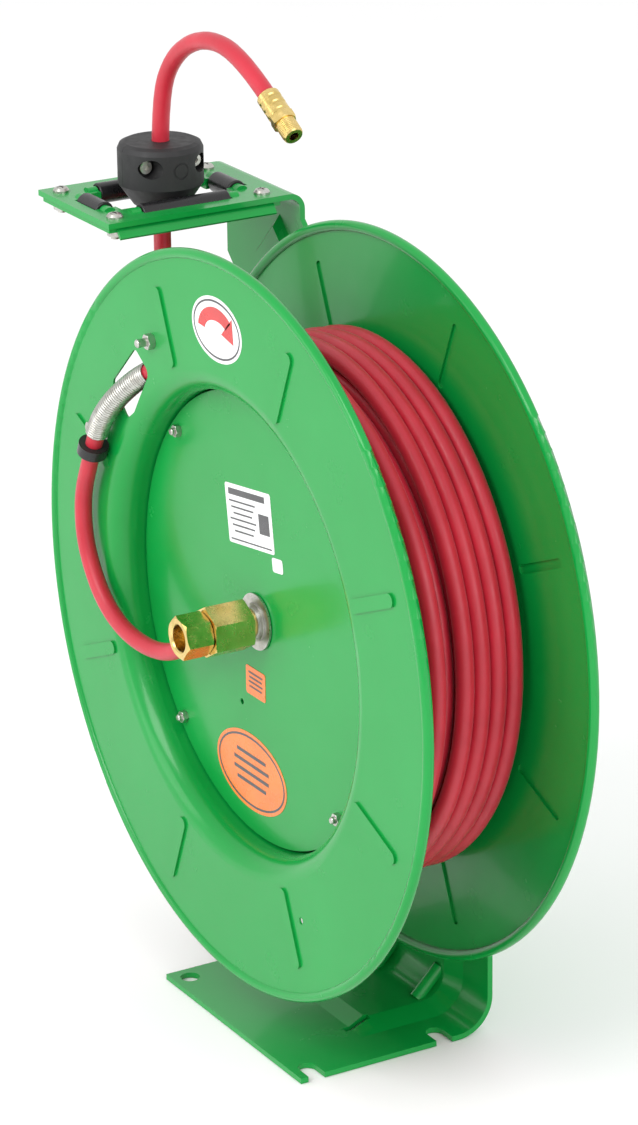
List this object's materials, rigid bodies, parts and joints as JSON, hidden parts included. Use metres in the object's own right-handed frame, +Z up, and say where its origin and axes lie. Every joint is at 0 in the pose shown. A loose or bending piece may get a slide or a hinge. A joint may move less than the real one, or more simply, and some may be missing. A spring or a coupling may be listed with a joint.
{
  "type": "spring rewind hose reel",
  "caption": "Spring rewind hose reel on a single bent-plate pedestal, with roller guide, swivel inlet and ratchet.",
  "frame": {"origin": "underside of the base plate, midway between its four fixing places", "axes": "+Z up; the axle runs along +Y from the inlet swivel to the post; +X across the drum, away from the hose guide"},
  "size_m": [0.5245, 0.202, 0.679],
  "materials": {
    "green_paint": "gloss",
    "zinc_steel": "satin",
    "spring_steel": "satin",
    "brass": "satin",
    "bronze": "satin",
    "black_plastic": "matte",
    "black_rubber": "matte",
    "red_hose": "satin",
    "white_label": "gloss",
    "orange_label": "gloss"
  },
  "bodies": {
    "stand": {"base_post": "green_paint", "guide_arm": "green_paint", "lower_roller_plate": "green_paint", "axle_flange": "green_paint", "arm_bolts": "zinc_steel", "axle_bolts": "zinc_steel", "post_nuts": "zinc_steel", "guide_screws": "zinc_steel", "guide_nuts": "zinc_steel", "roller_pins": "zinc_steel", "main_axle": "zinc_steel", "axle_spacer": "zinc_steel", "spring_arbor": "zinc_steel", "thrust_washer": "zinc_steel", "retaining_ring": "zinc_steel", "swivel_stem": "brass", "swivel_spacer": "brass", "pawl_pin": "zinc_steel", "pawl_spring": "zinc_steel", "hose_lead": "red_hose", "stopper_half_left": "black_rubber", "stopper_half_right": "black_rubber", "stopper_screws": "zinc_steel", "stopper_nuts": "zinc_steel", "hose_ferrule": "brass", "hose_fitting": "brass"},
    "drum": {"front_flange": "green_paint", "rear_flange": "green_paint", "spring_cover": "green_paint", "spring_case": "green_paint", "mainspring": "spring_steel", "drum_hub": "green_paint", "ratchet_wheel": "zinc_steel", "front_bushing": "bronze", "middle_bushing": "bronze", "rear_bushing": "bronze", "cover_bolts": "zinc_steel", "small_nuts": "zinc_steel", "drum_bolts": "zinc_steel", "drum_nuts": "zinc_steel", "flange_stud": "zinc_steel", "flange_stud_nut": "zinc_steel", "clamp_cushion": "black_rubber", "clamp_band": "black_plastic", "clamp_bolt": "zinc_steel", "spring_guard": "zinc_steel", "feed_hose": "red_hose", "hose_coil": "red_hose", "swivel_body": "brass", "swivel_seals": "black_rubber", "feed_fitting": "brass", "feed_ferrule": "brass", "arrow_label": "white_label", "data_labels": "white_label", "orange_labels": "orange_label"},
    "pawl": {"pawl": "zinc_steel"},
    "roller_left": {"roller_left": "black_plastic"},
    "roller_right": {"roller_right": "black_plastic"},
    "roller_front": {"roller_front": "black_plastic"},
    "roller_rear": {"roller_rear": "black_plastic"}
  },
  "joints": [
    {"name": "drum_turn", "type": "hinge", "parent": "stand", "child": "drum", "pos_m": [0, 0.003, 0.302], "axis": [0, 1, 0], "continuous": true},
    {"name": "pawl_swing", "type": "hinge", "parent": "stand", "child": "pawl", "pos_m": [-0.0367, 0.049, 0.3544], "axis": [0, 1, 0], "range_deg": [-4, 2], "stiffness_Nm_per_rad": 0.02},
    {"name": "roller_left_turn", "type": "hinge", "parent": "stand", "child": "roller_left", "pos_m": [-0.2435, 0.009, 0.5446], "axis": [0, 1, 0], "continuous": true},
    {"name": "roller_right_turn", "type": "hinge", "parent": "stand", "child": "roller_right", "pos_m": [-0.1785, 0.009, 0.5446], "axis": [0, 1, 0], "continuous": true},
    {"name": "roller_front_turn", "type": "hinge", "parent": "stand", "child": "roller_front", "pos_m": [-0.211, -0.0437, 0.5446], "axis": [1, 0, 0], "continuous": true},
    {"name": "roller_rear_turn", "type": "hinge", "parent": "stand", "child": "roller_rear", "pos_m": [-0.211, 0.0617, 0.5446], "axis": [1, 0, 0], "continuous": true}
  ]
}
